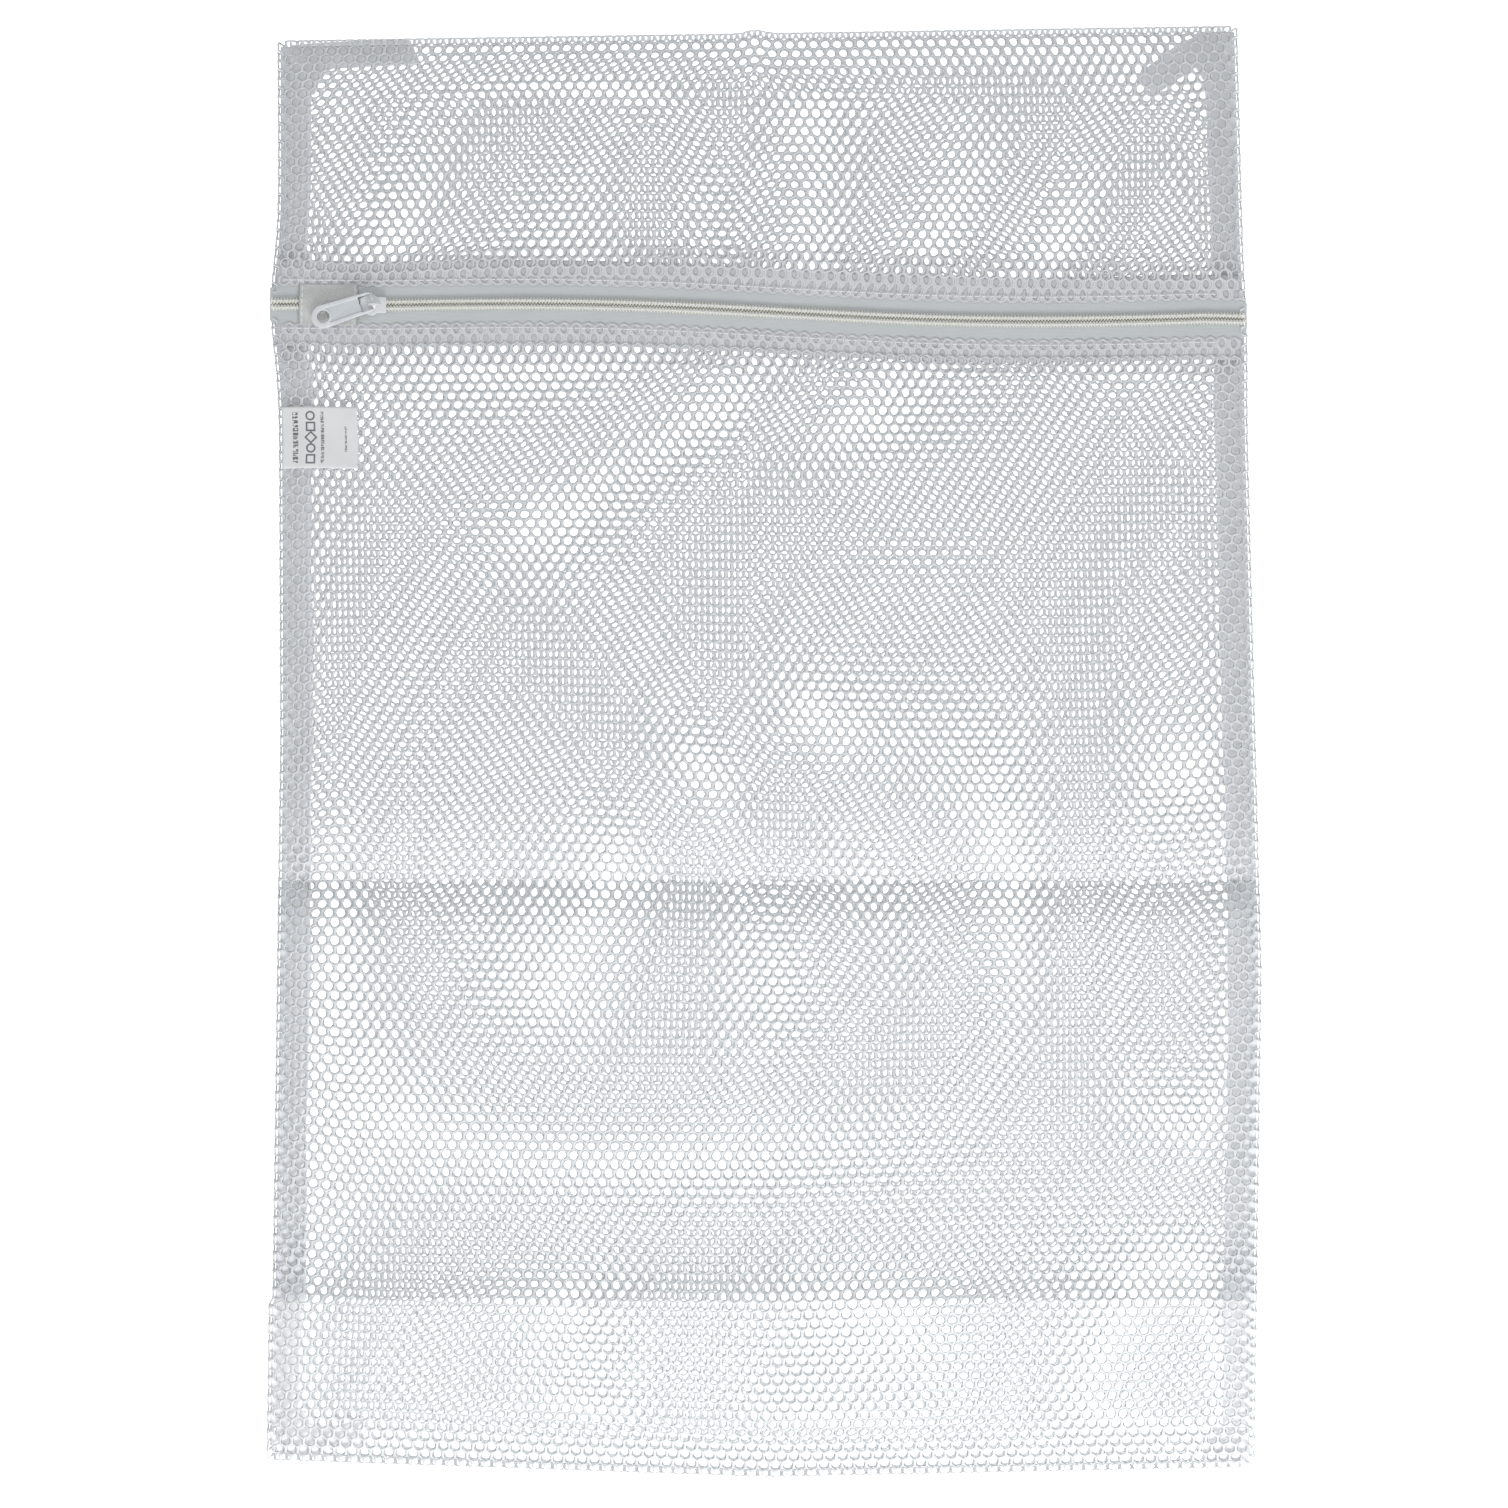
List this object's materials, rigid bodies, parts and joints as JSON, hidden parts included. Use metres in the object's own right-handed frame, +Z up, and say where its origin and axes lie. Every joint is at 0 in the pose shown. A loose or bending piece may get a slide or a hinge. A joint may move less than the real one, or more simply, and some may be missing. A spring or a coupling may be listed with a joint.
{
  "type": "mesh laundry bag",
  "caption": "Flat rectangular mesh laundry bag with a zip across its front, a sliding zip pull, bound side seams and a care label.",
  "frame": {"origin": "centre of the face that the bag lies on", "axes": "+X across the bag, along the zip; +Y from the closed end to the zip end; +Z up, out of the front face"},
  "size_m": [0.404, 0.591, 0.0116],
  "materials": {
    "net": "white knitted polyester net, semi-matt",
    "binding_tape": "white woven polyester tape, matt",
    "zip_tape": "white woven zip tape, matt",
    "zip_coil": "cream nylon coil, satin",
    "thread": "white polyester thread",
    "painted_metal": "white enamel, glossy",
    "label_satin": "white satin ribbon, printed grey"
  },
  "bodies": {
    "bag": {"back_net": "net", "front_upper_net": "net", "front_lower_net": "net", "top_fold": "net", "bottom_fold": "net", "side_seam_left": "net", "side_seam_right": "net", "seam_allowance_left": "net", "seam_allowance_right": "net", "zip_hem_upper": "net", "zip_hem_lower": "net", "binding_left": "binding_tape", "binding_right": "binding_tape", "binding_tail_top_left": "binding_tape", "binding_tail_top_right": "binding_tape", "binding_tail_bottom_left": "binding_tape", "binding_tail_bottom_right": "binding_tape", "zip_tape_upper": "zip_tape", "zip_tape_lower": "zip_tape", "zip_end_patch": "zip_tape", "coil_upper": "zip_coil", "coil_lower": "zip_coil", "coil_core_upper": "thread", "coil_core_lower": "thread", "zip_thread_upper": "thread", "zip_thread_lower": "thread", "patch_thread": "thread", "seam_thread_left": "thread", "seam_thread_right": "thread"},
    "slider": {"slider_body": "painted_metal"},
    "pull_tab": {"pull_tab": "painted_metal"},
    "care_label": {"care_label": "label_satin"}
  },
  "joints": [
    {"name": "slider_travel", "type": "slide", "parent": "bag", "child": "slider", "axis": [0.9999, -0.0155, 0], "range_m": [0, 0.342]},
    {"name": "pull_tab_swing", "type": "hinge", "parent": "slider", "child": "pull_tab", "pos_m": [-0.15928, 0.18147, 0.0098], "axis": [-0.3075, 0.9515, 0], "range_deg": [0, 180]},
    {"name": "label_lift", "type": "hinge", "parent": "bag", "child": "care_label", "pos_m": [-0.19683, 0.1276, 0.00747], "axis": [0, -1, 0], "range_deg": [0, 150]}
  ]
}
